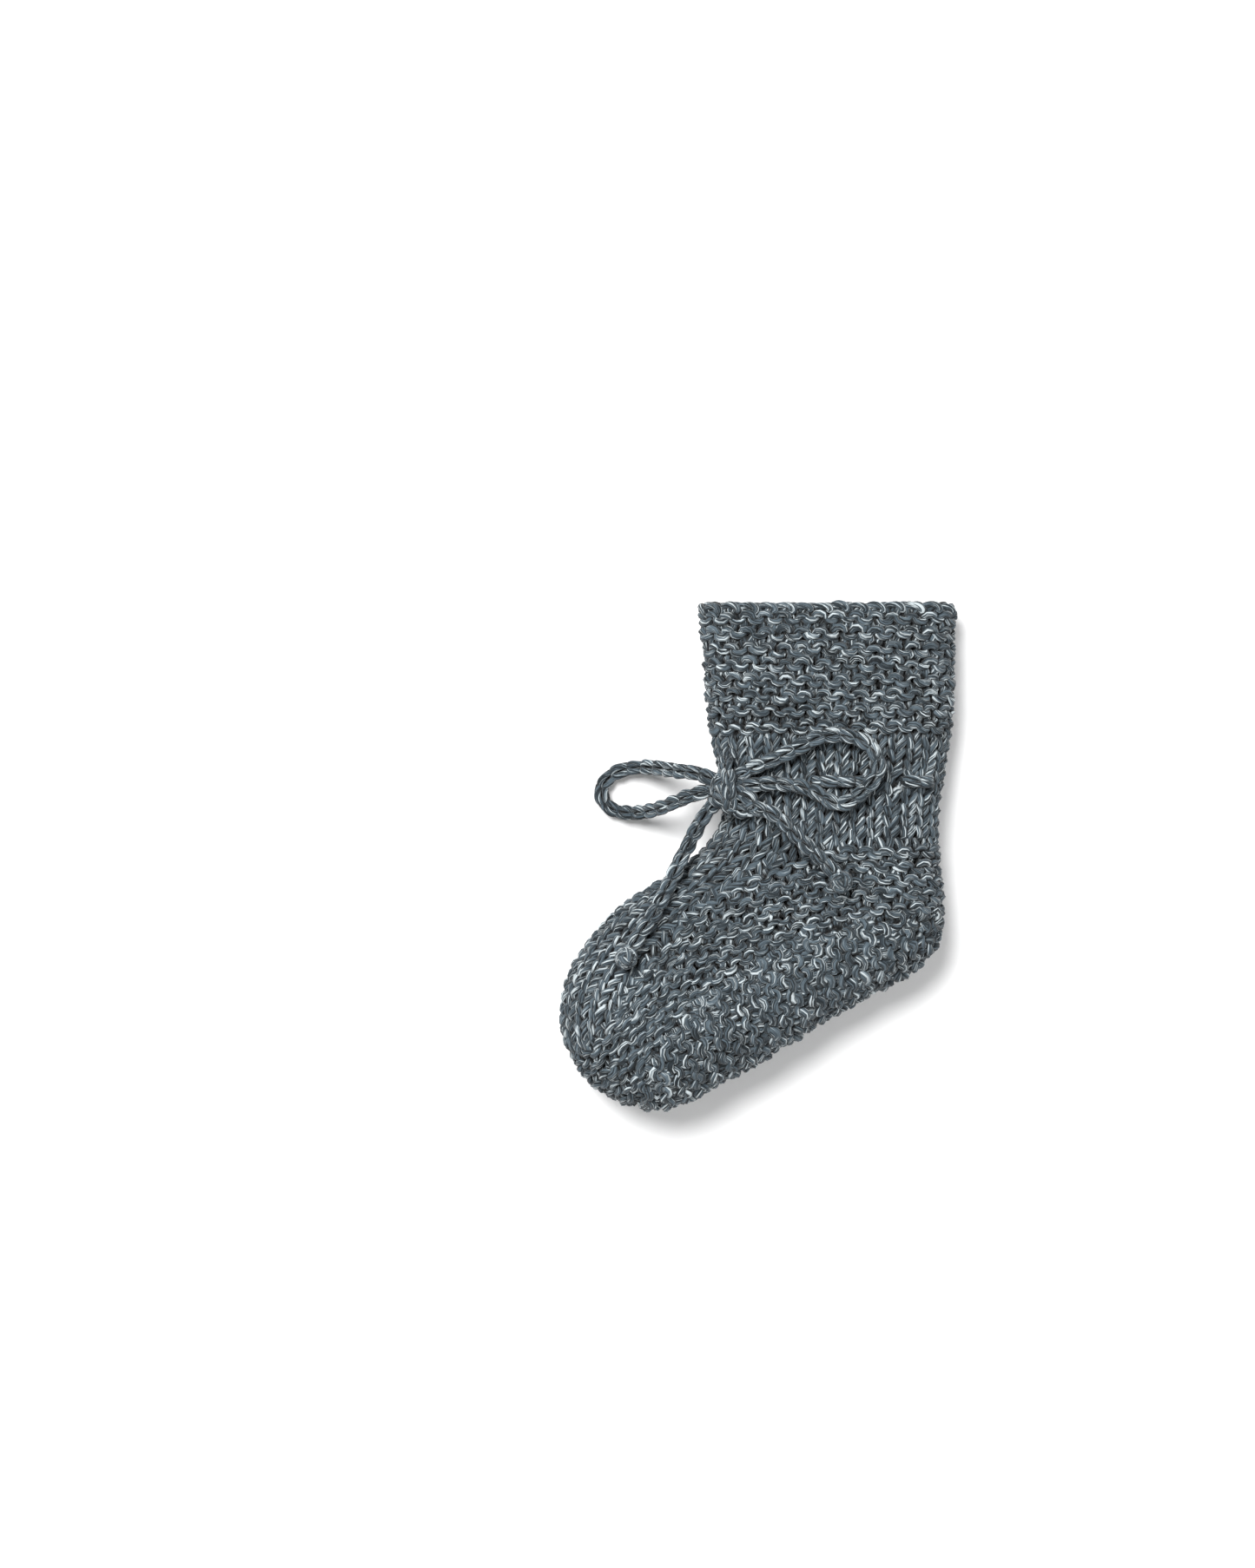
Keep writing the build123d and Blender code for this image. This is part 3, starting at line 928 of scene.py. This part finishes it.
instep = Fabric(instep_row, INSTEP_ROWS, INSTEP_STITCH, closed=False)
piece = yarn_mesh("instep_knit", stockinette(instep, PLAIN_DEPTH, PLAIN_YARN))
finish_piece(piece, knit_yarn, "knit_yarn", "bootie", "instep_panel")

# --- Bound-off edge, back seam, drawstring ---------------------------------------------------------

EDGE_YARN = 1.8


EDGE_SLANT = 0.22  # of the bound-off loops along the edge
EDGE_RISE, EDGE_LOOP = 0.25, 0.42  # middle and half height of the loops, in rows past the last
EDGE_OUT, EDGE_ROLL = 0.75, 0.5  # how far out the two strands lie, and roll over the edge
EDGE_WOBBLE = (0.04, 0.1, 0.1, 0.08)
EDGE_SHADE = 1.1


def bound_edge():
    """Bound-off stitches: two strands that loop over the ends of the columns at the mouth."""
    count = LEG_STITCHES
    t = np.linspace(0, TAU * count, count * SEGMENTS, endpoint=False)
    strands = []
    for face in (1, -1):
        w = [wobble(count, True, size) for size in EDGE_WOBBLE]
        u = t / TAU + EDGE_SLANT * face * np.sin(t) + w[0]
        v = CUFF_ROWS + EDGE_RISE + EDGE_LOOP * np.cos(t) * face + w[1]
        out = EDGE_OUT * face * np.ones(len(t)) + EDGE_ROLL * np.sin(t) + w[2]
        place, normal = cuff.at(u, v)
        radius = np.full(len(t), EDGE_YARN / 2) * (1 + w[3])
        strand = {"points": place + normal * out[:, None], "up": normal, "radius": radius, "closed": True}
        strand["level"] = np.full(len(t), EDGE_SHADE)
        strands.append(strand)
    return strands


piece = yarn_mesh("cuff_bound_edge", bound_edge())
finish_piece(piece, knit_yarn, "knit_yarn", "bootie")

SEAM_STEP = 3.1
SEAM_YARN = 1.5
SEAM_SHARES = (0.0425, 0.216)  # of the outline's length, from the mouth to the sole
SEAM_DEPTH, SEAM_SWING = -1.3, 0.75  # middle of the turns inside the outline, and their radius
SEAM_HALF_WIDTH = 1.55
SEAM_UNEVEN = 0.1
SEAM_SHADE = 1.2
TURN_STEPS = 14


def seam_strand():
    """Sewing yarn over and over the two edges that meet at the back, from the mouth to the sole."""
    back = along(np.vstack((outline, outline[:1])), np.linspace(*SEAM_SHARES, 300))
    out_dir = normalized(np.column_stack((-np.gradient(back[:, 1]), np.gradient(back[:, 0]))))
    length = np.linalg.norm(np.diff(back, axis=0), axis=1).sum()
    count = int(length / SEAM_STEP)
    q = np.linspace(0, 1, count * TURN_STEPS)
    centre, away = along(back, q), normalized(along(out_dir, q))
    turn = q * count * TAU
    uneven = rng.normal(0, SEAM_UNEVEN, count)[np.minimum((q * count).astype(int), count - 1)]
    depth = SEAM_DEPTH + SEAM_SWING * np.cos(turn) + uneven
    across = SEAM_HALF_WIDTH * np.sin(turn)
    middle = MID_HEIGHT - TAPER * centre[:, 1]
    points = np.column_stack((centre + away * depth[:, None], middle + across))
    up = np.column_stack((away, np.zeros(len(q))))
    radius = np.full(len(q), SEAM_YARN / 2)
    level = np.full(len(q), SEAM_SHADE)
    return {"points": points, "up": up, "radius": radius, "level": level, "closed": False}


piece = yarn_mesh("back_seam_yarn", [seam_strand()])
finish_piece(piece, seam_yarn, "seam_yarn", "bootie", "back_seam")

# Stations of the drawstring: x, side of the bootie, and whether it shows there
TIE_STATIONS = [
    (-3.5, 1, False),
    (4.0, 1, False),
    (12.0, 1, False),
    (16.5, 1, True),
    (23.5, 1, True),
    (28.0, 1, False),
    (33.0, 1, False),
    (37.5, 1, True),
    (43.4, 1, True),
    (40.6, 1, False),
    (40.6, -1, False),
    (43.4, -1, True),
    (37.5, -1, True),
    (33.0, -1, False),
    (28.0, -1, False),
    (23.5, -1, True),
    (16.5, -1, True),
    (12.0, -1, False),
    (4.5, -1, False),
    (-1.5, -1, True),
    (-8.0, -1, True),
]
TIE_FRONT = [(-11.3, TIE_Y, 11.8), (-11.2, TIE_Y, 17.0)]
TIE_START = (-5.8, TIE_Y, 20.6)
TIE_END = (-10.6, TIE_Y, 20.2)
TIE_FRONT_X, TIE_BACK_X = -10.4, 47.0
TIE_OUT = 0.9  # height over the fabric where it shows
TIE_IN = 2.1  # depth under the wall's inner face where it is hidden
WALL = 4.0
TIE_LOWEST = 1.8
TIE_WIDTH = 3.8
LEG_MIDDLE_X = 18.0


def tie_point(x, side, shows):
    """Point of the drawstring's route on a face: outside the fabric, or hidden inside it."""
    half = MID_HEIGHT - TAPER * TIE_Y
    roll = TOP_ROLL if side > 0 else FLOOR_ROLL
    edge = min(x - TIE_FRONT_X, TIE_BACK_X - x)
    if shows:
        rise = half * math.sqrt(1 - (1 - min(edge / roll, 1)) ** 2) + TIE_OUT
    else:
        part = min((edge - WALL) / (roll - WALL), 1)
        rise = (half - WALL) * math.sqrt(1 - (1 - part) ** 2) - TIE_IN
    return (x, TIE_Y, max(half + side * rise, TIE_LOWEST))


tie_line = curve_points([TIE_START] + [tie_point(*s) for s in TIE_STATIONS] + TIE_FRONT + [TIE_END])
tie_ups = tie_line - np.array((LEG_MIDDLE_X, TIE_Y, MID_HEIGHT - TAPER * TIE_Y))
piece = yarn_mesh("drawstring_chain", chain_strands(tie_line, tie_ups, width=TIE_WIDTH), CHAIN_TWIST)
finish_piece(piece, tie_yarn, "tie_yarn", "bootie", "drawstring")

# --- Floor, light --------------------------------------------------------------------------------


FLOOR_HALF = 2.5  # metres, as are the lights' places and sizes
FLOOR_GREY = 0.93
WORLD_LIGHT = 0.28


def stage_floor():
    mesh = bpy.data.meshes.new("floor")
    corners = [(FLOOR_HALF * x, FLOOR_HALF * y, 0) for x, y in ((-1, -1), (1, -1), (1, 1), (-1, 1))]
    mesh.from_pydata(corners, [], [(0, 1, 2, 3)])
    floor = bpy.data.objects.new("floor", mesh)
    bpy.context.scene.collection.objects.link(floor)
    material = bpy.data.materials.new("floor")
    material.use_nodes = True
    shader = material.node_tree.nodes["Principled BSDF"]
    shader.inputs["Base Color"].default_value = (FLOOR_GREY, FLOOR_GREY, FLOOR_GREY, 1)
    shader.inputs["Roughness"].default_value = 0.9
    mesh.materials.append(material)


def soft_light(name, place, aim, size, power):
    data = bpy.data.lights.new(name, "AREA")
    data.shape = "DISK"
    data.size = size
    data.energy = power
    light = bpy.data.objects.new(name, data)
    light.location = place
    direction = np.array(aim) - np.array(place)
    light.rotation_euler = Vector(direction).to_track_quat("-Z", "Y").to_euler()
    bpy.context.scene.collection.objects.link(light)


stage_floor()
soft_light("key", (-0.42, 0.56, 1.3), (0, 0, 0), 0.8, 33)
soft_light("fill", (0.8, -0.5, 1.2), (0, 0, 0), 1.2, 9)
world = bpy.data.worlds.new("studio")
world.use_nodes = True
world.node_tree.nodes["Background"].inputs["Color"].default_value = (1, 1, 1, 1)
world.node_tree.nodes["Background"].inputs["Strength"].default_value = WORLD_LIGHT
bpy.context.scene.world = world
bpy.context.scene.view_settings.view_transform = "Standard"
